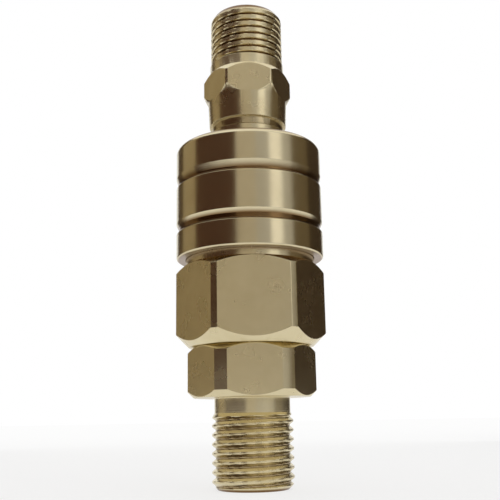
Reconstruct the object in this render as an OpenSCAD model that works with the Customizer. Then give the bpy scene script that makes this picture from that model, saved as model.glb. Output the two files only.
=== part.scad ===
// Two-way shut-off quick coupling for liquid cooling lines, shown coupled.
// A spring-loaded sleeve holds a ring of balls in the groove of the plug nose, and the two
// poppet valves push each other off their seats. Millimetres, +Z up, the axis is Z, and the
// origin is the centre of the lower port's end face. Screwed joints are plain cylinders.

/* [Lower port and adapter] */
// Major diameter of the lower port thread
lower_port_d = 13.7; // [13.3:0.1:15]
// Length of the lower port thread
lower_port_len = 12.4; // [9:0.1:18]
// Diameter of the plain neck above the lower port thread
lower_neck_d = 12.8; // [12.4:0.1:12.8]
// Length of the plain neck
lower_neck_len = 2.5; // [1.5:0.1:5]
// Flow bore through both ports
flow_d = 8.5; // [6:0.1:8.8]
// Chamfer at the end of both port threads
port_chamfer = 1; // [0.5:0.1:1.4]
// Size across flats of the adapter hexagon
adapter_af = 20; // [20:0.5:24]
// Height of the adapter hexagon
adapter_hex_h = 8.5; // [6:0.1:12]
// Major diameter of the adapter's spigot thread
spigot_d = 17.9; // [17.5:0.1:18.2]
// Length of the adapter's spigot
spigot_len = 8.2; // [7:0.1:12]
// Depth of the wide bore in the end of the spigot
spigot_bore_len = 2; // [1:0.1:3]
// Wall between that bore and the valve chamber's radius
spigot_lip = 1; // [0.8:0.1:1.4]
// How far the end faces of a hexagon lie inside its flats
end_drop = 0.1; // [0.05:0.05:0.3]

/* [Socket body] */
// Size across flats of the body hexagon
body_af = 23; // [23:0.5:28]
// Height of the body hexagon
body_hex_h = 14; // [12:0.1:20]
// Diameter of the face at the lower end of the body hexagon
body_end_d = 21.5; // [20.5:0.1:22]
// Height of the round shoulder above the body hexagon
shoulder_h = 3.6; // [3:0.1:6]
// Length of the barrel above the shoulder
barrel_len = 16.9; // [16:0.1:24]
// Depth of the receiver that takes the plug nose
receiver_depth = 12.9; // [11:0.1:14]
// Diameter of the valve chamber in the body
chamber_d = 15.2; // [14.6:0.1:15.6]
// Diameter of the throat above the socket valve
throat_d = 10.4; // [9.8:0.1:11]
// Length of the throat
throat_len = 1.2; // [0.8:0.1:2]
// How far the seal bore is wider than the spigot's radius
seal_bore_step = 0.4; // [0.3:0.05:0.6]
// Length of the seal bore past the adapter seal's groove
seal_bore_run = 0.3; // [0.2:0.1:1]
// How far the socket guide's rim is seated outside the chamber
guide_seat = 0.7; // [0.4:0.1:0.9]
// Outer chamfer at the mouth of the body
mouth_chamfer = 0.3; // [0.1:0.05:0.5]
// Lead-in chamfer of the receiver
mouth_lead = 0.6; // [0.3:0.1:0.8]

/* [Locking balls] */
// Diameter of one locking ball
ball_d = 2.5; // [2.3:0.05:2.7]
// Number of locking balls
ball_count = 6; // [6]
// How far a ball stands into the receiver
ball_bite = 0.5; // [0.4:0.02:0.6]
// Distance of the balls from the mouth of the body
ball_setback = 4.6; // [4.4:0.1:5.5]
// Distance of the sleeve's land below the ball centres
land_drop = 0.3; // [0.26:0.02:0.4]

/* [Sleeve] */
// Outer diameter of the sleeve
sleeve_d = 25.8; // [25:0.1:30]
// Wall of the sleeve's skirt
skirt_wall = 1.62; // [1.2:0.02:1.8]
// Travel of the sleeve from locked to released
sleeve_travel = 1.1; // [1:0.05:1.4]
// Length of the land that holds the balls in
land_len = 2.4; // [1.5:0.1:3]
// How far the sleeve stands above the mouth of the body
sleeve_overhang = 0.9; // [0.5:0.1:2]
// Radius round the sleeve's upper edge
sleeve_round = 1.2; // [0.5:0.1:1.6]
// Radius round the sleeve's lower edge
sleeve_edge = 0.4; // [0.2:0.05:0.6]
// Width of the two grip grooves
grip_w = 1.9; // [1.2:0.1:2.4]
// Depth of the two grip grooves
grip_depth = 0.4; // [0.2:0.05:0.6]
// Distance from the sleeve's lower end to the lower grip groove
lower_grip_at = 4.4; // [3:0.1:6]
// Distance from the sleeve's lower end to the upper grip groove
upper_grip_at = 12.7; // [9:0.1:14]
// Share of the lower groove's width that its upper flank takes
lower_grip_share = 0.4; // [0.2:0.05:0.7]
// Share of the upper groove's width that its upper flank takes
upper_grip_share = 0.65; // [0.2:0.05:0.7]
// Chamfer inside the sleeve's upper end
sleeve_lead = 0.5; // [0.2:0.1:0.8]
// Wire of the sleeve spring
sleeve_wire_d = 1.2; // [0.8:0.1:1.5]
// Number of turns of the sleeve spring
sleeve_turns = 5; // [4:0.5:6]

/* [Stop ring and seals] */
// Distance of the stop ring from the mouth of the body
stop_setback = 0.8; // [0.6:0.1:1.2]
// Thickness of the stop ring
stop_t = 0.9; // [0.6:0.1:1]
// Depth of the stop ring's groove in the barrel
stop_depth = 0.6; // [0.4:0.05:0.8]
// How far the stop ring stands in front of the sleeve's step
stop_bite = 0.35; // [0.2:0.05:0.5]
// Angle of the gap in the stop ring
stop_gap_angle = 30; // [20:5:60]
// Distance of the main seal below the ball centres
seal_drop = 4.3; // [4:0.1:4.6]
// Section of the main seal
seal_d = 1.2; // [1:0.05:1.3]
// Section of the adapter seal
adapter_seal_d = 1.6; // [1.2:0.1:1.8]
// Section of the tail seal
tail_seal_d = 0.9; // [0.7:0.05:1]
// Distance of the adapter seal's groove from the adapter hexagon
adapter_groove_at = 0.6; // [0.4:0.1:1]
// Distance of the tail seal's groove from the end of the nose
tail_groove_at = 0.5; // [0.4:0.1:1]

/* [Plug] */
// Diameter of the plug nose
nose_d = 13.8; // [13.4:0.05:14.2]
// Length of nose that stays outside the body
nose_stand = 4; // [3:0.1:6]
// Free space between the nose tip and the floor of the receiver
tip_gap = 0.3; // [0.2:0.05:0.5]
// Throat in the nose tip
nose_throat_d = 8.4; // [8:0.1:8.8]
// Length of the nose throat
nose_throat_len = 1; // [0.6:0.1:1.5]
// Diameter of the valve chamber in the nose
nose_chamber_d = 11; // [10.6:0.05:11.2]
// Chamfer round the nose tip
nose_lead = 0.5; // [0.3:0.1:0.8]
// Broken edge at the rear of the nose
nose_break = 0.2; // [0.1:0.05:0.4]
// Major diameter of the tail's spigot thread
tail_spigot_d = 11.8; // [11.7:0.05:12]
// Length of the tail's spigot
tail_spigot_len = 4.8; // [4:0.1:6]
// Entry bore of the tail, round the stem of the plug valve
entry_d = 9.5; // [9.2:0.1:9.7]
// Length of the entry bore
entry_len = 2.4; // [2.2:0.1:2.6]
// Width of the relief groove at the foot of the tail
relief_w = 1.35; // [0.8:0.05:2]
// Diameter at the bottom of the relief groove
relief_d = 12.8; // [12.4:0.1:12.8]
// Length of the tail's neck
tail_neck_len = 4.6; // [3:0.1:7]
// Diameter of the tail's neck under its hexagon
tail_neck_d = 14.3; // [14:0.1:15]
// Narrowing of the neck towards the relief groove
tail_neck_taper = 0.4; // [0:0.1:0.6]
// Size across flats of the tail hexagon
tail_af = 14; // [14:0.5:17]
// Height of the tail hexagon
tail_hex_h = 5.5; // [4:0.1:8]
// Diameter of the plain collar above the tail hexagon
upper_collar_d = 13.5; // [13.5:0.05:14]
// Length of the plain collar
upper_collar_len = 1.8; // [1:0.1:3]
// Major diameter of the upper port thread
upper_port_d = 13.157; // [13.157:0.001:13.2]
// Length of the upper port thread
upper_port_len = 9.95; // [8:0.05:14]

/* [Valves] */
// How far each valve is held off its seat when coupled
valve_lift = 1.8; // [1.4:0.1:2]
// Free float of the two valves up or down
valve_float = 0.4; // [0.2:0.05:0.5]
// Diameter of the socket valve's head
socket_head_d = 12.8; // [12.2:0.1:13.2]
// Height of the straight rim of both valve heads
head_rim_h = 1.5; // [1:0.1:2]
// Diameter of the flat on top of the socket valve's head
socket_face_d = 8.8; // [8:0.1:9.6]
// Diameter of the socket valve's pin and stem
socket_pin_d = 3.2; // [2.6:0.1:3.6]
// Section of the socket valve's seal
socket_valve_seal_d = 1; // [0.8:0.05:1.1]
// Diameter of the plug valve's head
plug_head_d = 9.5; // [9.3:0.1:9.9]
// Diameter of the flat on the plug valve's head
plug_face_d = 6; // [5.4:0.1:6.4]
// Diameter of the plug valve's pin and stem
plug_pin_d = 2.6; // [2.2:0.1:3]
// Section of the plug valve's seal
plug_valve_seal_d = 0.8; // [0.6:0.05:0.9]
// Thickness of the rims and arms of both valve guides
guide_t = 1.2; // [1:0.1:1.6]
// Number of arms of both valve guides
guide_arms = 3; // [3:1:4]
// Length of the socket guide's hub
socket_hub_len = 3.2; // [2:0.1:4]
// Length of the plug guide's hub
plug_hub_len = 2.6; // [1.6:0.1:3.6]
// Wall of the guide hubs
hub_wall = 0.95; // [0.7:0.05:1.2]
// Width of the guide arms
arm_w = 1.5; // [1:0.1:2]
// Wire of the socket valve's spring
socket_wire_d = 0.8; // [0.5:0.1:0.9]
// Wire of the plug valve's spring
plug_wire_d = 0.6; // [0.4:0.1:0.7]
// Number of turns of both valve springs
valve_turns = 4.5; // [4:0.5:5]
// Distance from the socket guide's hub to the middle of its spring's wire
socket_spring_gap = 1.85; // [1:0.05:2.2]
// Distance from the plug guide's hub to the middle of its spring's wire
plug_spring_gap = 0.95; // [0.6:0.05:1.2]
// Height above the nose tip at which the two pins meet
pin_meet_at = 0.5; // [0.2:0.1:1]
// Chamfer round the end of both pins
pin_chamfer = 0.4; // [0.2:0.1:0.6]
// How far both stems reach past their spigots
stem_reach = 2; // [1:0.1:2]
// Share of a valve seal's section by which its middle lies under the cone
seal_sink = 0.42; // [0.35:0.01:0.45]

/* [Clearances] */
// Radial clearance between the nose and the receiver
nose_clear = 0.05; // [0.03:0.01:0.08]
// Radial clearance of the sleeve on the barrel and shoulder
slide_clear = 0.07; // [0.05:0.01:0.1]
// Clearance round a locking ball
ball_clear = 0.05; // [0.03:0.01:0.08]
// Radial clearance of the plug's groove round the balls
groove_clear = 0.07; // [0.05:0.01:0.1]
// Clearance between the sleeve's land and the balls
land_clear = 0.02; // [0.02:0.01:0.04]
// Radial clearance that stands for an engaged thread
thread_clear = 0.05; // [0.03:0.01:0.08]
// Clearance of a seal in its groove
seal_clear = 0.03; // [0.02:0.01:0.05]
// Clearance of rings and guides in their seats
seat_clear = 0.05; // [0.03:0.01:0.08]
// Gap left under the released sleeve
end_clear = 0.1; // [0.05:0.05:0.3]
// Room of a seal along its groove
groove_room = 0.2; // [0.1:0.05:0.4]
// Radial room round the stop ring in the sleeve
stop_room = 0.15; // [0.1:0.05:0.3]
// Gap between a closed valve's head and the cone of its seat
seat_gap = 0.1; // [0.05:0.05:0.2]
// Gap between the ends of the two pins
pin_gap = 0.05; // [0.03:0.01:0.08]

/* [Hidden] */
$fn = 96;
ring_fn = 48;
coil_steps = 22;
coil_sides = 8;

// How far a cutter runs past a face, or a joint between two shapes of one solid overlaps
past = 1;
overlap = 0.01;

brass = "#b8a172";
bright_brass = "#c7b283";
steel = "#b9bcc0";
spring_steel = "#9a9fa6";
rubber = "#242424";

// Heights of the lower parts
z_neck = lower_port_len;
z_adapter_hex = z_neck + lower_neck_len;
z_joint = z_adapter_hex + adapter_hex_h;
z_spigot = z_joint + spigot_len;
z_ledge = z_spigot + guide_t;
z_body_hex = z_joint + body_hex_h;
z_shoulder = z_body_hex + shoulder_h;
z_mouth = z_shoulder + barrel_len;
z_floor = z_mouth - receiver_depth;
z_ball = z_mouth - ball_setback;
z_seal = z_ball - seal_drop;

// Radii that follow from the nose and the balls
nose_r = nose_d / 2;
receiver_r = nose_r + nose_clear;
ball_r = ball_d / 2;
ball_at_r = receiver_r - ball_bite + ball_r;
land_r = ball_at_r + ball_r + land_clear;
barrel_r = land_r - slide_clear;
release_r = land_r + ball_bite + 2 * ball_clear;

// Sleeve
sleeve_r = sleeve_d / 2;
skirt_r = sleeve_r - skirt_wall;
shoulder_r = skirt_r - slide_clear;
z_sleeve = z_body_hex + sleeve_travel + end_clear;
z_sleeve_top = z_mouth + sleeve_overhang;
z_land_top = z_ball - land_drop;
z_land = z_land_top - land_len;
z_stop_top = z_mouth - stop_setback;
z_stop = z_stop_top - stop_t;
stop_seat_r = barrel_r - stop_depth;
stop_in_r = stop_seat_r + seat_clear;
stop_out_r = release_r + stop_bite;
counterbore_r = stop_out_r + stop_room;

// Hexagons: each has its corners turned down, to this share of half the flats, and a cone at
// each end whose height is this share of its depth
adapter_turn = 1.093;
body_turn = 1.123;
tail_turn = 1.134;
body_top_slope = 0.8;
tail_low_slope = 1.75;
tail_top_slope = 1.15;
adapter_turned_r = adapter_af / 2 * adapter_turn;
adapter_end_r = adapter_af / 2 - end_drop;
adapter_cone_h = adapter_turned_r - adapter_end_r;
body_turned_r = body_af / 2 * body_turn;
body_end_r = body_end_d / 2;
body_top_r = max(body_af / 2 - end_drop, shoulder_r + end_drop);
body_low_cone_h = body_turned_r - body_end_r;
body_top_cone_h = (body_turned_r - body_top_r) * body_top_slope;
tail_turned_r = tail_af / 2 * tail_turn;
tail_neck_r = tail_neck_d / 2;
upper_collar_r = upper_collar_d / 2;
tail_low_cone_h = (tail_turned_r - tail_neck_r) * tail_low_slope;
tail_top_cone_h = (tail_turned_r - upper_collar_r) * tail_top_slope;

// Seals and their grooves
main_seal_r = nose_r + seal_clear + seal_d / 2;
main_groove_r = main_seal_r + seal_d / 2 + seal_clear;
main_groove_h = seal_d + groove_room;
seal_bore_r = spigot_d / 2 + seal_bore_step;
adapter_seal_r = seal_bore_r - seal_clear - adapter_seal_d / 2;
adapter_groove_r = adapter_seal_r - adapter_seal_d / 2 - seal_clear;
adapter_groove_h = adapter_seal_d + groove_room;
adapter_groove_z = z_joint + adapter_groove_at;
z_seal_bore = adapter_groove_z + adapter_groove_h + seal_bore_run;

// Adapter and socket valve
flow_r = flow_d / 2;
spigot_r = spigot_d / 2;
chamber_r = chamber_d / 2;
throat_r = throat_d / 2;
z_throat = z_floor - throat_len;
z_seat = z_throat - (chamber_r - throat_r);
socket_rim_r = chamber_r - spigot_lip;
socket_guide_r = chamber_r + guide_seat;
z_spigot_bore = z_spigot - spigot_bore_len;
socket_head_r = socket_head_d / 2;
socket_face_r = socket_face_d / 2;
socket_pin_r = socket_pin_d / 2;
z_socket_face = z_seat + chamber_r - socket_face_r - seat_gap - valve_lift;
z_socket_rim = z_socket_face - (socket_head_r - socket_face_r);
z_socket_back = z_socket_rim - head_rim_h;
socket_hub_r = socket_pin_r + hub_wall;
socket_spring_r = socket_hub_r + socket_spring_gap;

// Plug
z_tip = z_floor + tip_gap;
z_nose_end = z_mouth + nose_stand;
z_tail_spigot = z_nose_end - tail_spigot_len;
z_nose_ledge = z_tail_spigot - guide_t;
nose_throat_r = nose_throat_d / 2;
nose_chamber_r = nose_chamber_d / 2;
tail_spigot_r = tail_spigot_d / 2;
tail_thread_r = tail_spigot_r + thread_clear;
z_nose_throat = z_tip + nose_throat_len;
z_nose_seat = z_nose_throat + nose_chamber_r - nose_throat_r;
z_relief = z_nose_end + relief_w;
z_tail_hex = z_relief + tail_neck_len;
z_collar = z_tail_hex + tail_hex_h;
z_upper_port = z_collar + upper_collar_len;
z_top = z_upper_port + upper_port_len;
upper_port_r = upper_port_d / 2;
upper_end_slope = 0.75;
entry_r = entry_d / 2;
z_entry = z_tail_spigot + entry_len;
tail_groove_h = tail_seal_d + groove_room;
tail_groove_z = z_nose_end - tail_groove_at - tail_groove_h;
tail_seal_r = tail_spigot_r - tail_seal_d / 2;
tail_groove_r = tail_seal_r - tail_seal_d / 2 - seal_clear;
plug_head_r = plug_head_d / 2;
plug_face_r = plug_face_d / 2;
plug_pin_r = plug_pin_d / 2;
z_plug_face = z_nose_throat - (nose_throat_r - plug_face_r) + seat_gap + valve_lift;
z_plug_rim = z_plug_face + plug_head_r - plug_face_r;
z_plug_back = z_plug_rim + head_rim_h;
plug_hub_r = plug_pin_r + hub_wall;
plug_spring_r = plug_hub_r + plug_spring_gap;
z_plug_pin = z_tip + pin_meet_at;
z_socket_pin = z_plug_pin - pin_gap;

// Solid turned about the axis from its half section.
module turned(points) {
  rotate_extrude()
    polygon(points);
}

// Plain hole or rod along the axis between two heights.
module rod(r, z_low, z_high) {
  translate([0, 0, z_low])
    cylinder(r = r, h = z_high - z_low);
}

// Cone along the axis between two heights.
module cone(r_low, r_high, z_low, z_high) {
  translate([0, 0, z_low])
    cylinder(r1 = r_low, r2 = r_high, h = z_high - z_low);
}

// Ring of round section, such as a seal.
module seal_ring(ring_r, section_d, z) {
  translate([0, 0, z])
    rotate_extrude()
      translate([ring_r, 0])
        circle(d = section_d, $fn = ring_fn);
}

// Square groove round the axis.
module ring_groove(r_in, r_out, z_low, h) {
  translate([0, 0, z_low])
    difference() {
      cylinder(r = r_out, h = h);
      translate([0, 0, -past])
        cylinder(r = r_in, h = h + 2 * past);
    }
}

// Hexagon whose corners are turned down, with a cone at each end.
module hexagon(af, turned_r, z_low, z_high, low_r, low_h, top_r, top_h) {
  intersection() {
    translate([0, 0, z_low])
      cylinder(r = af / 2 / cos(30), h = z_high - z_low, $fn = 6);
    turned([
      [0, z_low],
      [low_r, z_low],
      [turned_r, z_low + low_h],
      [turned_r, z_high - top_h],
      [top_r, z_high],
      [0, z_high]
    ]);
  }
}

// Compression spring: its first and last turns lie closed against the seats.
module coil(mean_r, wire_d, z_low, z_high, turns) {
  steps = coil_steps;
  sides = coil_sides;
  closed = wire_d + seal_clear;
  first = z_low + wire_d / 2 + seal_clear;
  rise = z_high - z_low - wire_d - 2 * seal_clear;
  pitch = (rise - 2 * closed) / (turns - 2);
  last = turns * steps;
  function lift(u) = u < 1 ? u * closed
    : u < turns - 1 ? closed + (u - 1) * pitch
    : closed + (turns - 2) * pitch + (u - turns + 1) * closed;
  function spot(i, j) =
    let (u = i / steps, a = 360 * u, b = 360 * j / sides, r = mean_r + wire_d / 2 * cos(b))
    [r * cos(a), r * sin(a), first + lift(u) + wire_d / 2 * sin(b)];
  points = [for (i = [0:last]) for (j = [0:sides - 1]) spot(i, j)];
  walls = [for (i = [0:last - 1]) for (j = [0:sides - 1])
    let (k = (j + 1) % sides)
    [i * sides + j, i * sides + k, (i + 1) * sides + k, (i + 1) * sides + j]];
  low_cap = [for (j = [sides - 1:-1:0]) j];
  high_cap = [for (j = [0:sides - 1]) last * sides + j];
  polyhedron(points, concat([low_cap], [high_cap], walls));
}

// Valve guide: a rim, a bored hub and three arms.
module valve_guide(rim_r, open_r, hub_r, bore_r, z_low, hub_low, hub_high) {
  difference() {
    union() {
      difference() {
        rod(rim_r, z_low, z_low + guide_t);
        rod(open_r, z_low - past, z_low + guide_t + past);
      }
      rod(hub_r, hub_low, hub_high);
      for (i = [0:guide_arms - 1])
        rotate([0, 0, 360 * i / guide_arms])
          translate([0, -arm_w / 2, z_low])
            cube([(rim_r + open_r) / 2, arm_w, guide_t]);
    }
    rod(bore_r, hub_low - past, hub_high + past);
  }
}

// Radius of the ring in which a valve seal lies, halfway down the cone of its head.
function valve_seal_r(face_r, head_r) = (face_r + head_r) / 2;

// Screwed into the rear of the socket body; carries the lower port.
module adapter() {
  color(brass)
    difference() {
      union() {
        rod(lower_port_d / 2, port_chamfer, z_neck);
        cone(lower_port_d / 2 - port_chamfer, lower_port_d / 2, 0, port_chamfer);
        rod(lower_neck_d / 2, z_neck, z_adapter_hex);
        hexagon(adapter_af, adapter_turned_r, z_adapter_hex, z_joint,
          adapter_end_r, adapter_cone_h, adapter_end_r, adapter_cone_h);
        rod(spigot_r, z_joint, z_spigot);
      }
      rod(flow_r, -past, z_spigot + past);
      cone(flow_r, socket_rim_r, z_spigot_bore - socket_rim_r + flow_r, z_spigot_bore);
      rod(socket_rim_r, z_spigot_bore, z_spigot + past);
      ring_groove(adapter_groove_r, spigot_r + past, adapter_groove_z, adapter_groove_h);
    }
}

// Seal between the adapter and the socket body.
module adapter_seal() {
  color(rubber)
    seal_ring(adapter_seal_r, adapter_seal_d, adapter_groove_z + adapter_groove_h / 2);
}

// Hexagon, shoulder and barrel in one piece, with the receiver and the valve chamber.
module socket_body() {
  color(brass)
    difference() {
      union() {
        hexagon(body_af, body_turned_r, z_joint, z_body_hex,
          body_end_r, body_low_cone_h, body_top_r, body_top_cone_h);
        rod(shoulder_r, z_body_hex - past, z_shoulder);
        rod(barrel_r, z_shoulder - past, z_mouth - mouth_chamfer);
        cone(barrel_r, barrel_r - mouth_chamfer, z_mouth - mouth_chamfer, z_mouth);
      }
      rod(seal_bore_r, z_joint - past, z_seal_bore);
      rod(spigot_r + thread_clear, z_joint, z_ledge);
      rod(chamber_r, z_ledge - past, z_seat);
      cone(chamber_r, throat_r, z_seat, z_throat);
      rod(throat_r, z_throat - overlap, z_floor + past);
      rod(receiver_r, z_floor, z_mouth + past);
      cone(receiver_r, receiver_r + mouth_lead, z_mouth - mouth_lead, z_mouth);
      ring_groove(receiver_r - past, main_groove_r, z_seal - main_groove_h / 2, main_groove_h);
      ring_groove(stop_seat_r, barrel_r + past, z_stop - seat_clear, stop_t + 2 * seat_clear);
      for (i = [0:ball_count - 1])
        rotate([0, 0, 360 * i / ball_count])
          translate([ball_at_r, 0, z_ball]) {
            sphere(r = ball_r + ball_clear);
            rotate([0, 90, 0])
              cylinder(r = ball_r + ball_clear, h = barrel_r);
          }
    }
}

// Half section of one grip groove: a long upper flank, a floor and a short lower flank.
module grip_groove(z_low, flank) {
  turned([
    [sleeve_r - grip_depth, z_low + grip_depth],
    [sleeve_r + grip_depth, z_low - grip_depth],
    [sleeve_r + grip_depth, z_low + grip_w + flank],
    [sleeve_r - grip_depth, z_low + grip_w - flank]
  ]);
}

// Outside of the sleeve with both edges rounded.
module sleeve_outside() {
  rotate_extrude() {
    translate([0, z_sleeve])
      square([sleeve_r - sleeve_edge, sleeve_edge]);
    translate([sleeve_r - sleeve_edge, z_sleeve + sleeve_edge])
      intersection() {
        circle(r = sleeve_edge);
        translate([0, -sleeve_edge])
          square(sleeve_edge);
      }
    translate([0, z_sleeve + sleeve_edge])
      square([sleeve_r, z_sleeve_top - z_sleeve - sleeve_edge - sleeve_round]);
    translate([0, z_sleeve_top - sleeve_round])
      square([sleeve_r - sleeve_round, sleeve_round]);
    translate([sleeve_r - sleeve_round, z_sleeve_top - sleeve_round])
      intersection() {
        circle(r = sleeve_round);
        square(sleeve_round);
      }
  }
}

// Locking sleeve: skirt over the spring, land over the balls, release recess, mouth.
module sleeve() {
  ramp = release_r - land_r;
  z_step = z_stop - seat_clear;
  color(bright_brass)
    difference() {
      sleeve_outside();
      grip_groove(z_sleeve + lower_grip_at, grip_w * lower_grip_share);
      grip_groove(z_sleeve + upper_grip_at, grip_w * upper_grip_share);
      rod(skirt_r, z_sleeve - past, z_land);
      rod(land_r, z_land - past, z_land_top);
      cone(land_r, release_r, z_land_top, z_land_top + ramp);
      rod(release_r, z_land_top + ramp, z_step);
      rod(counterbore_r, z_step, z_sleeve_top + past);
      cone(counterbore_r, counterbore_r + sleeve_lead, z_sleeve_top - sleeve_lead, z_sleeve_top);
    }
}

// Pushes the sleeve towards the mouth from the shoulder of the body.
module sleeve_spring() {
  color(spring_steel)
    coil((barrel_r + skirt_r) / 2, sleeve_wire_d, z_shoulder, z_land, sleeve_turns);
}

// Open ring snapped into the barrel; it stops the sleeve.
module stop_ring() {
  color(steel)
    rotate([0, 0, 90 + stop_gap_angle / 2])
      rotate_extrude(angle = 360 - stop_gap_angle)
        translate([stop_in_r, z_stop])
          square([stop_out_r - stop_in_r, stop_t]);
}

// Seal round the plug nose in the receiver.
module main_seal() {
  color(rubber)
    seal_ring(main_seal_r, seal_d, z_seal);
}

// One locking ball, numbered round the axis.
module lock_ball(number) {
  color(steel)
    rotate([0, 0, 360 * (number - 1) / ball_count])
      translate([ball_at_r, 0, z_ball])
        sphere(r = ball_r);
}

// Poppet of the socket: pin, conical head with a seal groove, and a stem behind.
module socket_valve() {
  seal_at = valve_seal_r(socket_face_r, socket_head_r);
  color(brass)
    difference() {
      union() {
        rod(socket_pin_r, z_socket_rim, z_socket_pin - pin_chamfer);
        cone(socket_pin_r, socket_pin_r - pin_chamfer, z_socket_pin - pin_chamfer, z_socket_pin);
        cone(socket_head_r, socket_face_r, z_socket_rim, z_socket_face);
        rod(socket_head_r, z_socket_back, z_socket_rim);
        rod(socket_pin_r, z_spigot - stem_reach, z_socket_rim);
      }
      seal_ring(seal_at, socket_valve_seal_d + 2 * seal_clear, socket_seal_z(seal_at));
    }
}

// Height of a valve seal whose ring lies in the cone of the head.
function socket_seal_z(ring_r) =
  z_socket_face + socket_face_r - ring_r - socket_valve_seal_d * seal_sink;
function plug_seal_z(ring_r) =
  z_plug_face - plug_face_r + ring_r + plug_valve_seal_d * seal_sink;

// Seal of the socket valve.
module socket_valve_seal() {
  seal_at = valve_seal_r(socket_face_r, socket_head_r);
  color(rubber)
    seal_ring(seal_at, socket_valve_seal_d, socket_seal_z(seal_at));
}

// Pushes the socket valve towards the plug.
module socket_valve_spring() {
  color(spring_steel)
    coil(socket_spring_r, socket_wire_d, z_ledge, z_socket_back, valve_turns);
}

// Guide of the socket valve, held between the spigot and the ledge in the body.
module socket_valve_guide() {
  color(brass)
    valve_guide(socket_guide_r, socket_rim_r, socket_hub_r, socket_pin_r + seat_clear,
      z_spigot, z_ledge - socket_hub_len + guide_t, z_ledge + guide_t);
}

// Nose of the plug: seat and throat at its tip, ball groove, and the rear thread.
module plug_nose() {
  color(brass)
    difference() {
      union() {
        cone(nose_r - nose_lead, nose_r, z_tip, z_tip + nose_lead);
        rod(nose_r, z_tip + nose_lead, z_nose_end - nose_break);
        cone(nose_r, nose_r - nose_break, z_nose_end - nose_break, z_nose_end);
      }
      seal_ring(ball_at_r, ball_d + 2 * groove_clear, z_ball);
      rod(nose_throat_r, z_tip - past, z_nose_throat);
      cone(nose_throat_r, nose_chamber_r, z_nose_throat, z_nose_seat);
      rod(nose_chamber_r, z_nose_seat, z_nose_ledge + past);
      rod(tail_thread_r, z_nose_ledge, z_nose_end + past);
    }
}

// Tail of the plug: spigot, relief groove, neck, hexagon, collar and the upper port.
module plug_tail() {
  color(brass)
    difference() {
      union() {
        rod(tail_spigot_r, z_tail_spigot, z_nose_end);
        rod(relief_d / 2, z_nose_end, z_relief);
        cone(tail_neck_r - tail_neck_taper / 2, tail_neck_r, z_relief, z_tail_hex);
        hexagon(tail_af, tail_turned_r, z_tail_hex, z_collar,
          tail_neck_r, tail_low_cone_h, upper_collar_r, tail_top_cone_h);
        rod(upper_collar_r, z_collar, z_upper_port);
        rod(upper_port_r, z_upper_port, z_top - port_chamfer);
        cone(upper_port_r, upper_port_r - port_chamfer * upper_end_slope, z_top - port_chamfer, z_top);
      }
      rod(entry_r, z_tail_spigot - past, z_entry);
      cone(entry_r, flow_r, z_entry, z_entry + entry_r - flow_r);
      rod(flow_r, z_entry, z_top + past);
      ring_groove(tail_groove_r, tail_spigot_r + past, tail_groove_z, tail_groove_h);
    }
}

// Seal between the nose and the tail.
module tail_seal() {
  color(rubber)
    seal_ring(tail_seal_r, tail_seal_d, tail_groove_z + tail_groove_h / 2);
}

// Poppet of the plug, facing down.
module plug_valve() {
  seal_at = valve_seal_r(plug_face_r, plug_head_r);
  color(brass)
    difference() {
      union() {
        cone(plug_pin_r - pin_chamfer, plug_pin_r, z_plug_pin, z_plug_pin + pin_chamfer);
        rod(plug_pin_r, z_plug_pin + pin_chamfer, z_plug_rim);
        cone(plug_face_r, plug_head_r, z_plug_face, z_plug_rim);
        rod(plug_head_r, z_plug_rim, z_plug_back);
        rod(plug_pin_r, z_plug_rim, z_tail_spigot + stem_reach);
      }
      seal_ring(seal_at, plug_valve_seal_d + 2 * seal_clear, plug_seal_z(seal_at));
    }
}

// Seal of the plug valve.
module plug_valve_seal() {
  seal_at = valve_seal_r(plug_face_r, plug_head_r);
  color(rubber)
    seal_ring(seal_at, plug_valve_seal_d, plug_seal_z(seal_at));
}

// Pushes the plug valve towards the socket.
module plug_valve_spring() {
  color(spring_steel)
    coil(plug_spring_r, plug_wire_d, z_plug_back, z_nose_ledge, valve_turns);
}

// Guide of the plug valve, held between the ledge in the nose and the spigot.
module plug_valve_guide() {
  color(brass)
    valve_guide(tail_spigot_r, entry_r, plug_hub_r, plug_pin_r + seat_clear,
      z_nose_ledge, z_nose_ledge, z_nose_ledge + plug_hub_len);
}

adapter();
adapter_seal();
socket_body();
sleeve();
sleeve_spring();
stop_ring();
main_seal();
lock_ball(1);  // lock_ball_1
lock_ball(2);  // lock_ball_2
lock_ball(3);  // lock_ball_3
lock_ball(4);  // lock_ball_4
lock_ball(5);  // lock_ball_5
lock_ball(6);  // lock_ball_6
socket_valve();
socket_valve_seal();
socket_valve_spring();
socket_valve_guide();
plug_nose();
plug_tail();
tail_seal();
plug_valve();
plug_valve_seal();
plug_valve_spring();
plug_valve_guide();
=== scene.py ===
import math

import bpy
from mathutils import Matrix, Vector


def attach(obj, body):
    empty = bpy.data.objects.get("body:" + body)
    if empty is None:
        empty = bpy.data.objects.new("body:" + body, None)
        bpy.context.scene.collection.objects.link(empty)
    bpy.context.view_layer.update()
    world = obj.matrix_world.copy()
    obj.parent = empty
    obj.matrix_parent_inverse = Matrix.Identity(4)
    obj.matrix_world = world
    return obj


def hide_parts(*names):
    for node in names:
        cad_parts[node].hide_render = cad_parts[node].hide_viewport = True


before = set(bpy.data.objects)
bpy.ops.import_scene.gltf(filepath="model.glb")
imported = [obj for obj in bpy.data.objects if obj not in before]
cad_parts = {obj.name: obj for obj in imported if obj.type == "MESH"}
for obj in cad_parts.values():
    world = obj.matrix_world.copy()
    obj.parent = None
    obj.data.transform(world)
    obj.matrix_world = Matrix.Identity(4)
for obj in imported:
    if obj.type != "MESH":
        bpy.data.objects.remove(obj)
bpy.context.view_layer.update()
MM = 0.001


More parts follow.
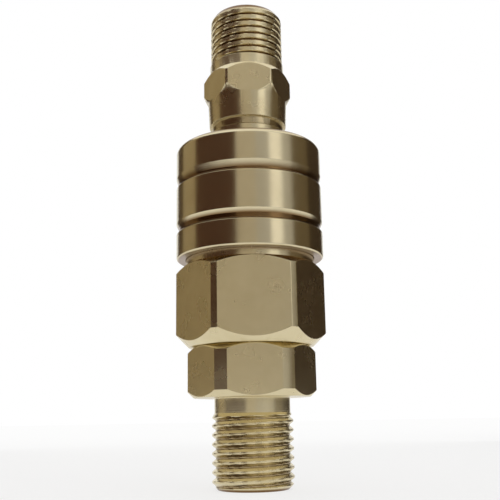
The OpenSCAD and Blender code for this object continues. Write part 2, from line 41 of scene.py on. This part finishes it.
# Adapter: screwed into the rear of the socket, it carries the smaller spanner hexagon and the
# M14 x 1.5 port. Free-cutting brass bar, turned, threaded with a die and milled on six sides.
# Brass bar gives a pale warm metal with fine rings from the tool and soft clouds of tarnish.
def colour(code):
    """An sRGB hex colour as a linear one."""
    parts = [int(code[i:i + 2], 16) / 255 for i in (1, 3, 5)]
    return tuple(c / 12.92 if c <= 0.04045 else ((c + 0.055) / 1.055) ** 2.4 for c in parts) + (1.0,)


def node(owner, kind, settings=None, links=None):
    """Adds one shader node: its own settings by name, and its input sockets by name or number."""
    made = owner.node_tree.nodes.new(kind)
    for name, value in (settings or {}).items():
        setattr(made, name, value)
    for name, value in (links or {}).items():
        if isinstance(value, bpy.types.NodeSocket):
            owner.node_tree.links.new(value, made.inputs[name])
        else:
            made.inputs[name].default_value = value
    return made


def new_material(name):
    """An empty material that is built from nodes."""
    made = bpy.data.materials.new(name)
    made.use_nodes = True
    made.node_tree.nodes.clear()
    return made


def worked_metal(name, light, dark, roughness, ring_gap, ring_depth, cloud=5.0, painted_shade=None):
    """Bare metal with tool rings along Z and clouds of tarnish; all lengths are in millimetres.

    The last argument, (dark radius, full radius), paints shade: all metal closer to the axis than
    that is painted darker brown, a painted shade in thread roots and grooves. Real feed marks are
    about 0.1 mm apart, and the rings are drawn coarser so that they show.
    """
    made = new_material(name)
    place = node(made, "ShaderNodeTexCoord").outputs["Object"]
    split = node(made, "ShaderNodeSeparateXYZ", links={0: place})
    rings = node(made, "ShaderNodeTexNoise", {"noise_dimensions": "1D"}, {
        "W": split.outputs["Z"], "Scale": 1 / (ring_gap * MM), "Detail": 3})
    clouds = node(made, "ShaderNodeTexNoise", links={
        "Vector": place, "Scale": 1 / (cloud * MM), "Detail": 4, "Roughness": 0.6})
    tone = node(made, "ShaderNodeMix", {"data_type": "RGBA"}, {
        "Factor": clouds.outputs["Fac"], 6: colour(light), 7: colour(dark)}).outputs[2]
    # Painted shade: metal nearer the axis than the dark radius is mixed to a dark brown, fading out by
    # the full radius.
    if painted_shade:
        flat = node(made, "ShaderNodeVectorMath", {"operation": "MULTIPLY"}, {0: place, 1: (1, 1, 0)})
        radius = node(made, "ShaderNodeVectorMath", {"operation": "LENGTH"}, {0: flat.outputs[0]})
        unshaded = node(made, "ShaderNodeMapRange", {"interpolation_type": "SMOOTHSTEP"}, {
            "Value": radius.outputs["Value"], "From Min": painted_shade[0] * MM, "From Max": painted_shade[1] * MM})
        tone = node(made, "ShaderNodeMix", {"data_type": "RGBA"}, {
            "Factor": unshaded.outputs["Result"], 6: colour("#7a5c38"), 7: tone}).outputs[2]
    dull = node(made, "ShaderNodeMapRange", links={
        "Value": clouds.outputs["Fac"], "From Min": 0.3, "From Max": 0.7,
        "To Min": roughness - 0.04, "To Max": roughness + 0.05})
    relief = node(made, "ShaderNodeBump", links={
        "Height": rings.outputs["Fac"], "Strength": 0.3, "Distance": ring_depth * MM})
    metal = node(made, "ShaderNodeBsdfPrincipled", links={
        "Base Color": tone, "Metallic": 1.0, "Roughness": dull.outputs["Result"],
        "Normal": relief.outputs["Normal"]})
    node(made, "ShaderNodeOutputMaterial", links={"Surface": metal.outputs["BSDF"]})
    return made


def half_section(corners):
    """Corners (radius, height, edge radius) in millimetres, with each edge radius drawn as an arc."""
    points = []
    last = len(corners) - 1
    for i, (r, z, *edge) in enumerate(corners):
        here = Vector((r, z))
        if not edge or i in (0, last):
            points.append(here)
            continue
        before = Vector(corners[i - 1][:2]) - here
        after = Vector(corners[i + 1][:2]) - here
        half = before.angle(after) / 2
        reach = min(edge[0] / math.tan(half), before.length * 0.49, after.length * 0.49)
        size = reach * math.tan(half)
        middle = here + (before.normalized() + after.normalized()).normalized() * size / math.sin(half)
        start = here + before.normalized() * reach - middle
        turn = start.angle_signed(here + after.normalized() * reach - middle)
        pieces = max(2, math.ceil(abs(turn) / math.radians(15)))
        for k in range(pieces + 1):
            points.append(middle + Matrix.Rotation(-turn * k / pieces, 2) @ start)
    return points


def turn_on_lathe(name, corners, steps=180):
    """Draws a half section with one vertex, spins it about Z and closes the seam."""
    points = half_section(corners)
    bpy.ops.object.select_all(action="DESELECT")
    bpy.ops.mesh.primitive_plane_add(size=MM)
    piece = bpy.context.object
    piece.name = piece.data.name = name
    bpy.ops.object.mode_set(mode="EDIT")
    bpy.ops.mesh.select_mode(type="VERT")
    bpy.ops.mesh.merge(type="CENTER")
    bpy.ops.transform.translate(value=(points[0].x * MM, 0, points[0].y * MM))
    for a, b in zip(points, points[1:]):
        step = ((b.x - a.x) * MM, 0, (b.y - a.y) * MM)
        bpy.ops.mesh.extrude_region_move(TRANSFORM_OT_translate={"value": step})
    bpy.ops.mesh.select_all(action="SELECT")
    bpy.ops.mesh.spin(steps=steps, angle=2 * math.pi, center=(0, 0, 0), axis=(0, 0, 1))
    bpy.ops.mesh.select_all(action="SELECT")
    bpy.ops.mesh.remove_doubles(threshold=1e-6)
    bpy.ops.mesh.normals_make_consistent(inside=False)
    bpy.ops.object.mode_set(mode="OBJECT")
    return piece


def cut_thread(piece, low, high, outer, pitch, depth, root_share, flank_share, front_root, run_out):
    """Presses a right-hand thread into the rows between two heights.

    front_root is the height of a root on the -Y side, and run_out is how the depth fades at the top.
    """
    for vertex in piece.data.vertices:
        x, y, z = vertex.co / MM
        r = math.hypot(x, y)
        if r < outer - depth * 1.6 or not low < z < high:
            continue
        turns = (z - front_root) / pitch - (math.atan2(y, x) + math.pi / 2) / (2 * math.pi)
        off_root = abs(turns - round(turns))
        cut = min(1, max(0, (root_share / 2 + flank_share - off_root) / flank_share))
        fade = min(1, (high - z) / run_out)
        new = min(r, outer - depth * cut * fade)
        vertex.co.x *= new / r
        vertex.co.y *= new / r


def take_away(piece, cutter):
    """Cuts one closed shape out of the piece."""
    bpy.ops.object.select_all(action="DESELECT")
    piece.select_set(True)
    bpy.context.view_layer.objects.active = piece
    cut = piece.modifiers.new("cut", "BOOLEAN")
    cut.operation = "DIFFERENCE"
    cut.solver = "EXACT"
    cut.object = cutter
    bpy.ops.object.modifier_apply(modifier="cut")
    bpy.data.objects.remove(cutter)


def mill_flats(piece, across, low, high):
    """Takes six flats off between two heights with a hexagonal ring as the cutter."""
    corner = across / 2 / math.cos(math.radians(30))
    bpy.ops.object.select_all(action="DESELECT")
    bpy.ops.mesh.primitive_circle_add(vertices=6, radius=corner * MM, location=(0, 0, low * MM))
    ring = bpy.context.object
    bpy.ops.object.mode_set(mode="EDIT")
    bpy.ops.transform.rotate(value=math.radians(30), orient_axis="Z", center_override=(0, 0, 0))
    bpy.ops.mesh.extrude_region_move(TRANSFORM_OT_translate={"value": (0, 0, (high - low) * MM)})
    bpy.ops.mesh.select_all(action="SELECT")
    bpy.ops.mesh.normals_make_consistent(inside=False)
    bpy.ops.object.mode_set(mode="OBJECT")
    wall = ring.modifiers.new("wall", "SOLIDIFY")
    wall.thickness = 8 * MM
    wall.offset = 1
    bpy.ops.object.modifier_apply(modifier="wall")
    take_away(piece, ring)


def break_edges(piece, width=0.12):
    """Rounds the sharp edges a little, as the tool and a brush leave them."""
    bpy.ops.object.select_all(action="DESELECT")
    piece.select_set(True)
    bpy.context.view_layer.objects.active = piece
    edge = piece.modifiers.new("edge", "BEVEL")
    edge.limit_method = "ANGLE"
    edge.angle_limit = math.radians(32)
    edge.width = width * MM
    edge.segments = 2
    edge.use_clamp_overlap = True
    bpy.ops.object.modifier_apply(modifier="edge")


def finish_metal(piece, body, material, node_name):
    """Shades the piece, gives it its metal, and lets it stand for its CAD node on its body."""
    bpy.ops.object.select_all(action="DESELECT")
    piece.select_set(True)
    bpy.context.view_layer.objects.active = piece
    bpy.ops.object.shade_smooth_by_angle(angle=math.radians(28))
    even = piece.modifiers.new("even_shading", "WEIGHTED_NORMAL")
    even.keep_sharp = True
    even.weight = 80
    bpy.ops.object.modifier_apply(modifier="even_shading")
    piece.data.materials.clear()
    piece.data.materials.append(material)
    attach(piece, body)
    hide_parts(node_name)


flow_r = 4.25
port_r = 6.85
port_len = 12.4
end_r = port_r - 1
neck_r = 6.4
fade_slope = 0.6
hex_low = 14.9
hex_high = 23.4
hex_end_r = 9.9
hex_turned_r = 10.93
cone_h = hex_turned_r - hex_end_r
spigot_r = 8.95
spigot_end = 31.6
seal_groove = (7.69, 24.0, 25.8)
lip_r = 6.6
lip_low = 29.6
row = 0.075
port_rows = [(min(port_r, end_r + z, neck_r + (port_len - z) * fade_slope), z)
             for z in (row * k for k in range(1, int(port_len / row) + 1))]
adapter = turn_on_lathe("adapter_turned", [(flow_r, 0), (end_r, 0)] + port_rows + [
    (neck_r, port_len), (neck_r, hex_low, 0.15), (hex_end_r, hex_low), (hex_turned_r, hex_low + cone_h),
    (hex_turned_r, hex_high - cone_h), (hex_end_r, hex_high), (spigot_r, hex_high),
    (spigot_r, seal_groove[1]), (seal_groove[0], seal_groove[1]), (seal_groove[0], seal_groove[2]),
    (spigot_r, seal_groove[2]), (spigot_r, spigot_end), (lip_r, spigot_end), (lip_r, lip_low),
    (flow_r, lip_low - lip_r + flow_r), (flow_r, 0)])
mill_flats(adapter, across=20, low=hex_low - 0.9, high=hex_high + 0.6)
break_edges(adapter)
cut_thread(adapter, low=0.05, high=12.8, outer=port_r, pitch=1.5, depth=0.62, root_share=0.12,
           flank_share=0.34, front_root=0.945, run_out=1.3)
bar_light = "#e6dbb8"
bar_dark = "#d5c59b"
# Painted shade: thread roots and bore, nearer the axis than 6.4 mm, fade to a painted dark brown.
adapter_brass = worked_metal("brass_bar_adapter", bar_light, bar_dark, roughness=0.25, ring_gap=0.35,
                             ring_depth=0.015, painted_shade=(6.1, 6.4))
finish_metal(adapter, "socket", adapter_brass, "adapter")

# Socket body: the large hexagon, the shoulder under the sleeve and the barrel that carries the
# balls. Brass bar, turned and bored, milled on six sides, with six holes drilled for the balls.
turned_brass = worked_metal("turned_brass", bar_light, bar_dark, roughness=0.25, ring_gap=0.35,
                            ring_depth=0.015)
ball_r = 1.30
ball_at = 7.70
ball_z = 53.3
ball_count = 6
body_end_r = 10.75
body_turned_r = 12.91
body_high = 37.4
shoulder_r = 11.21
shoulder_high = 41.0
barrel_r = 8.9
barrel_high = 57.9
receiver_r = 6.95
floor_z = 45.0
throat_r = 5.2
chamber_r = 7.6
thread_r = 9.0
ledge_z = 32.8
seal_bore_r = 9.35
seal_bore_high = 26.1
stop_groove = (8.3, 56.15, 57.15)
main_groove = (8.16, 48.3, 49.7)
socket_body = turn_on_lathe("socket_body_turned", [
    (thread_r, seal_bore_high), (seal_bore_r, seal_bore_high), (seal_bore_r, hex_high),
    (body_end_r, hex_high), (body_turned_r, 25.56), (body_turned_r, 36.19), (11.4, body_high),
    (shoulder_r, body_high), (shoulder_r, shoulder_high, 0.15), (barrel_r, shoulder_high),
    (barrel_r, stop_groove[1]), (stop_groove[0], stop_groove[1]), (stop_groove[0], stop_groove[2]),
    (barrel_r, stop_groove[2]), (barrel_r, barrel_high - 0.3), (barrel_r - 0.3, barrel_high),
    (receiver_r + 0.6, barrel_high), (receiver_r, barrel_high - 0.6), (receiver_r, main_groove[2]),
    (main_groove[0], main_groove[2]), (main_groove[0], main_groove[1]), (receiver_r, main_groove[1]),
    (receiver_r, floor_z), (throat_r, floor_z), (throat_r, 43.8), (chamber_r, 41.4),
    (chamber_r, ledge_z), (thread_r, ledge_z), (thread_r, seal_bore_high)])
mill_flats(socket_body, across=23, low=hex_high - 0.4, high=body_high + 0.6)
break_edges(socket_body)
for k in range(ball_count):
    turn = math.radians(360 / ball_count * k)
    out_x, out_y = math.cos(turn), math.sin(turn)
    bpy.ops.object.select_all(action="DESELECT")
    bpy.ops.mesh.primitive_uv_sphere_add(
        segments=32, ring_count=16, radius=ball_r * MM,
        location=(ball_at * out_x * MM, ball_at * out_y * MM, ball_z * MM))
    take_away(socket_body, bpy.context.object)
    bpy.ops.mesh.primitive_cylinder_add(
        vertices=32, radius=ball_r * MM, depth=3 * MM, rotation=(0, math.radians(90), turn),
        location=((ball_at + 1.5) * out_x * MM, (ball_at + 1.5) * out_y * MM, ball_z * MM))
    take_away(socket_body, bpy.context.object)
finish_metal(socket_body, "socket", turned_brass, "socket_body")

# Sleeve: slides back against its spring to let the balls go. Brass tube, turned and polished, with
# two shallow grip grooves and well rounded edges. The polish makes its reflections sharper.
sleeve_r = 12.9
sleeve_low = 38.6
sleeve_top = 58.8
grip_r = 12.5
skirt_r = 11.28
land_r = 8.97
land_low = 50.6
release_r = 9.57
step_z = 56.15
mouth_r = 10.07
sleeve = turn_on_lathe("sleeve_turned", [
    (skirt_r, 44.0), (skirt_r, sleeve_low, 0.1), (sleeve_r, sleeve_low, 0.4), (sleeve_r, 43.0, 0.1),
    (grip_r, 43.4, 0.1), (grip_r, 44.14, 0.1), (sleeve_r, 44.9, 0.15), (sleeve_r, 51.3, 0.1),
    (grip_r, 51.7, 0.1), (grip_r, 51.965, 0.1), (sleeve_r, 53.2, 0.2), (sleeve_r, sleeve_top, 1.9),
    (mouth_r + 0.5, sleeve_top, 0.1), (mouth_r, sleeve_top - 0.5), (mouth_r, step_z), (release_r, step_z),
    (release_r, 53.6), (land_r, 53.0), (land_r, land_low), (skirt_r, land_low), (skirt_r, 44.0)])
# Painted shade: the grip grooves and their rounded edges are painted darker brown, full colour from 12.85
# mm out.
sleeve_brass = worked_metal("polished_brass_sleeve", "#e4d9b8", "#d3c5a0", roughness=0.19, ring_gap=0.5,
                            ring_depth=0.010, cloud=7.0, painted_shade=(12.45, 12.85))
finish_metal(sleeve, "sleeve", sleeve_brass, "sleeve")

# Plug nose: slides into the socket, with the round groove that the balls drop into. Brass bar,
# turned and bored, then screwed on the tail.
nose_r = 6.9
nose_low = 45.3
nose_high = 61.9
nose_throat_r = 4.2
nose_chamber_r = 5.5
tail_thread_r = 5.95
groove_r = 1.32
groove_half = math.radians(52.7)
ball_groove = [(ball_at - groove_r * math.cos(a), ball_z + groove_r * math.sin(a))
               for a in (groove_half * k / 6 for k in range(-6, 7))]
plug_nose = turn_on_lathe("plug_nose_turned", [
    (nose_throat_r, nose_low), (nose_r - 0.5, nose_low), (nose_r, nose_low + 0.5)] + ball_groove + [
    (nose_r, nose_high - 0.2), (nose_r - 0.2, nose_high), (tail_thread_r, nose_high),
    (tail_thread_r, 55.9), (nose_chamber_r, 55.9), (nose_chamber_r, 47.6),
    (nose_throat_r, nose_low + 1), (nose_throat_r, nose_low)])
finish_metal(plug_nose, "plug", turned_brass, "plug_nose")

# Plug tail: screwed into the nose, with the small hexagon and the threaded port. Brass bar, turned,
# threaded with a die and milled on six sides; a relief groove parts it from the nose.
upper_r = 6.5785
upper_low = 75.15
upper_high = 84.1
top = 85.1
collar_r = 6.75
tail_turned_r = 7.938
tail_hex_low = 67.85
tail_hex_high = 73.35
relief_r = 6.4
relief_high = 63.25
spigot_low = 57.1
tail_spigot_r = 5.9
entry_r = 4.75
entry_high = 59.5
tail_groove = (4.97, 60.3, 61.4)
upper_rows = [(upper_r, upper_low + row * k) for k in range(int((upper_high - upper_low) / row) + 1)]
plug_tail = turn_on_lathe("plug_tail_turned", [
    (entry_r, spigot_low), (tail_spigot_r, spigot_low), (tail_spigot_r, tail_groove[1]),
    (tail_groove[0], tail_groove[1]), (tail_groove[0], tail_groove[2]), (tail_spigot_r, tail_groove[2]),
    (tail_spigot_r, nose_high), (relief_r, nose_high), (relief_r, relief_high), (6.95, relief_high, 0.1),
    (7.15, tail_hex_low), (tail_turned_r, 69.229), (tail_turned_r, 71.955), (collar_r, tail_hex_high),
    (collar_r, upper_low, 0.1)] + upper_rows + [
    (upper_r, upper_high, 0.3), (upper_r - 0.75, top, 0.5), (flow_r, top),
    (flow_r, entry_high + entry_r - flow_r), (entry_r, entry_high), (entry_r, spigot_low)])
mill_flats(plug_tail, across=14, low=tail_hex_low, high=tail_hex_high + 0.65)
break_edges(plug_tail, width=0.1)
cut_thread(plug_tail, low=upper_low, high=upper_high + 0.2, outer=upper_r, pitch=1.26, depth=0.4,
           root_share=0.16, flank_share=0.14, front_root=75.4, run_out=0.5)
# Painted shade: thread roots, relief groove and bore, nearer the axis than 6.5 mm, fade to a painted dark
# brown.
tail_brass = worked_metal("brass_bar_tail", bar_light, bar_dark, roughness=0.25, ring_gap=0.35,
                          ring_depth=0.015, painted_shade=(6.2, 6.5))
finish_metal(plug_tail, "plug", tail_brass, "plug_tail")

# Valves and their guides: small poppets with a cone and a pin, and three-armed rings that hold
# their stems. Brass bar, turned, the guides milled out.
for name in ("socket_valve", "socket_valve_guide", "plug_valve", "plug_valve_guide"):
    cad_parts[name].material_slots[0].material = turned_brass

# Seals: round rings in their grooves. Black EPDM rubber, moulded: dark, soft and slightly dusty.
# The grain is finer than a picture shows and is drawn about 0.3 mm coarse.
rubber = new_material("black_epdm_rubber")
place = node(rubber, "ShaderNodeTexCoord").outputs["Object"]
grain = node(rubber, "ShaderNodeTexNoise", links={"Vector": place, "Scale": 1 / (0.3 * MM), "Detail": 3})
dust = node(rubber, "ShaderNodeTexNoise", links={"Vector": place, "Scale": 1 / (3 * MM), "Detail": 3})
tone = node(rubber, "ShaderNodeMix", {"data_type": "RGBA"}, {
    "Factor": dust.outputs["Fac"], 6: colour("#1c1c1c"), 7: colour("#2e2d2b")})
relief = node(rubber, "ShaderNodeBump", links={
    "Height": grain.outputs["Fac"], "Strength": 0.3, "Distance": 0.02 * MM})
skin = node(rubber, "ShaderNodeBsdfPrincipled", links={
    "Base Color": tone.outputs[2], "Roughness": 0.55, "IOR": 1.5, "Normal": relief.outputs["Normal"]})
node(rubber, "ShaderNodeOutputMaterial", links={"Surface": skin.outputs["BSDF"]})
for name in ("adapter_seal", "main_seal", "tail_seal", "socket_valve_seal", "plug_valve_seal"):
    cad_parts[name].material_slots[0].material = rubber

# Balls and stop ring: they lock the plug and stop the sleeve. Hardened stainless steel, the balls
# ground and lapped, the ring bent from wire and ground flat: a cool, smooth, bright metal.
ground_steel = worked_metal("ground_stainless", "#d3d6da", "#c0c4c9", roughness=0.17, ring_gap=0.25,
                            ring_depth=0.006, cloud=2.0)
for name in ["stop_ring"] + [f"lock_ball_{number}" for number in range(1, 7)]:
    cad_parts[name].material_slots[0].material = ground_steel

# Springs: they close both valves and push the sleeve forward. Stainless spring wire, drawn and
# coiled, duller than the balls.
spring_wire = worked_metal("drawn_spring_wire", "#aeb3b9", "#8d9298", roughness=0.34, ring_gap=0.3,
                           ring_depth=0.01, cloud=1.5)
for name in ("sleeve_spring", "socket_valve_spring", "plug_valve_spring"):
    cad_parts[name].material_slots[0].material = spring_wire

# Studio: a white table and background, with matt cards round the coupling that its metal mirrors
# as broad dark and light bands.
bpy.ops.object.select_all(action="DESELECT")
bpy.ops.mesh.primitive_plane_add(size=6)
floor = bpy.context.object
floor.name = "floor"
pale = new_material("pale_floor")
rays = node(pale, "ShaderNodeLightPath")
seen = node(pale, "ShaderNodeMath", {"operation": "MAXIMUM"}, {
    0: rays.outputs["Is Camera Ray"], 1: rays.outputs["Is Glossy Ray"]})
seen = node(pale, "ShaderNodeMath", {"operation": "MAXIMUM"}, {
    0: seen.outputs[0], 1: rays.outputs["Is Transmission Ray"]})
glow_share = 0.75
share = node(pale, "ShaderNodeMath", {"operation": "MULTIPLY"}, {0: seen.outputs[0], 1: glow_share})
matt = node(pale, "ShaderNodeBsdfDiffuse", links={"Color": colour("#f6f6f5")})
glow = node(pale, "ShaderNodeEmission", links={"Color": (1, 1, 1, 1), "Strength": 1.0})
mixed = node(pale, "ShaderNodeMixShader", links={
    0: share.outputs[0], 1: matt.outputs[0], 2: glow.outputs[0]})
node(pale, "ShaderNodeOutputMaterial", links={"Surface": mixed.outputs[0]})
floor.data.materials.append(pale)

world = bpy.data.worlds.new("studio")
bpy.context.scene.world = world
world.use_nodes = True
world.node_tree.nodes.clear()
white = node(world, "ShaderNodeBackground", links={"Color": (1, 1, 1, 1), "Strength": 1.0})
node(world, "ShaderNodeOutputWorld", links={"Surface": white.outputs[0]})


def card(name, start, end, tint, away=0.25, height=0.28):
    """A curved sheet of matt card that stands round the coupling; 0 degrees is the camera's side."""
    bpy.ops.object.select_all(action="DESELECT")
    bpy.ops.mesh.primitive_plane_add(size=MM)
    made = bpy.context.object
    made.name = name
    bpy.ops.object.mode_set(mode="EDIT")
    bpy.ops.mesh.select_mode(type="VERT")
    bpy.ops.mesh.merge(type="CENTER")
    first = math.radians(start - 90)
    bpy.ops.transform.translate(value=(away * math.cos(first), away * math.sin(first), 0))
    bpy.ops.mesh.extrude_region_move(TRANSFORM_OT_translate={"value": (0, 0, height)})
    bpy.ops.mesh.select_all(action="SELECT")
    bpy.ops.mesh.spin(steps=12, angle=-math.radians(end - start), center=(0, 0, 0), axis=(0, 0, 1))
    bpy.ops.object.mode_set(mode="OBJECT")
    sheet = new_material(name)
    face = node(sheet, "ShaderNodeBsdfDiffuse", links={"Color": colour(tint)})
    node(sheet, "ShaderNodeOutputMaterial", links={"Surface": face.outputs[0]})
    made.data.materials.append(sheet)
    made.visible_camera = False


card("card_left_rear", -150, -126, "#6a5a48")
card("card_left", -126, -92, "#c8b898")
card("card_left_front", -92, -22, "#634a3d")
card("card_front", -22, 8, "#ece4d6")
card("card_front_right", 8, 66, "#e6e5e5")
card("card_right", 66, 100, "#85775f")
card("card_right_rear", 100, 150, "#54473a")


def lamp(name, turn, lift, away, width, height, level):
    """A soft lamp that faces the coupling, turned round it from the camera's side; level 1 is white."""
    bpy.ops.object.light_add(type="AREA")
    made = bpy.context.object
    made.name = name
    made.data.shape = "RECTANGLE"
    made.data.size, made.data.size_y = width, height
    made.data.energy = level * math.pi * width * height
    a, e = math.radians(turn - 90), math.radians(lift)
    made.location = Vector((math.cos(a) * math.cos(e), math.sin(a) * math.cos(e), math.sin(e))) * away
    made.location.z += 0.04
    made.rotation_euler = (Vector((0, 0, 0.04)) - made.location).to_track_quat("-Z", "Y").to_euler()
    made.visible_camera = False


lamp("key_lamp", turn=39, lift=20, away=0.22, width=0.07, height=0.16, level=0.62)

# Camera: low in front of the coupling and close to it, looking a little up, so the upper end looks
# smaller than the lower one.
bpy.ops.object.camera_add()
camera = bpy.context.object
camera.data.lens = 54.8
camera.data.sensor_width = 36
camera.data.clip_start = 0.01
camera.data.clip_end = 20
camera.matrix_world = (
    Matrix.Translation((-0.00685, -0.13121, 0.01137))
    @ Matrix.Rotation(math.radians(-3.01), 4, "Z")
    @ Matrix.Rotation(math.radians(102.52), 4, "X")
    @ Matrix.Rotation(math.radians(-0.975), 4, "Z"))
bpy.context.scene.camera = camera
bpy.context.scene.view_settings.view_transform = "Standard"
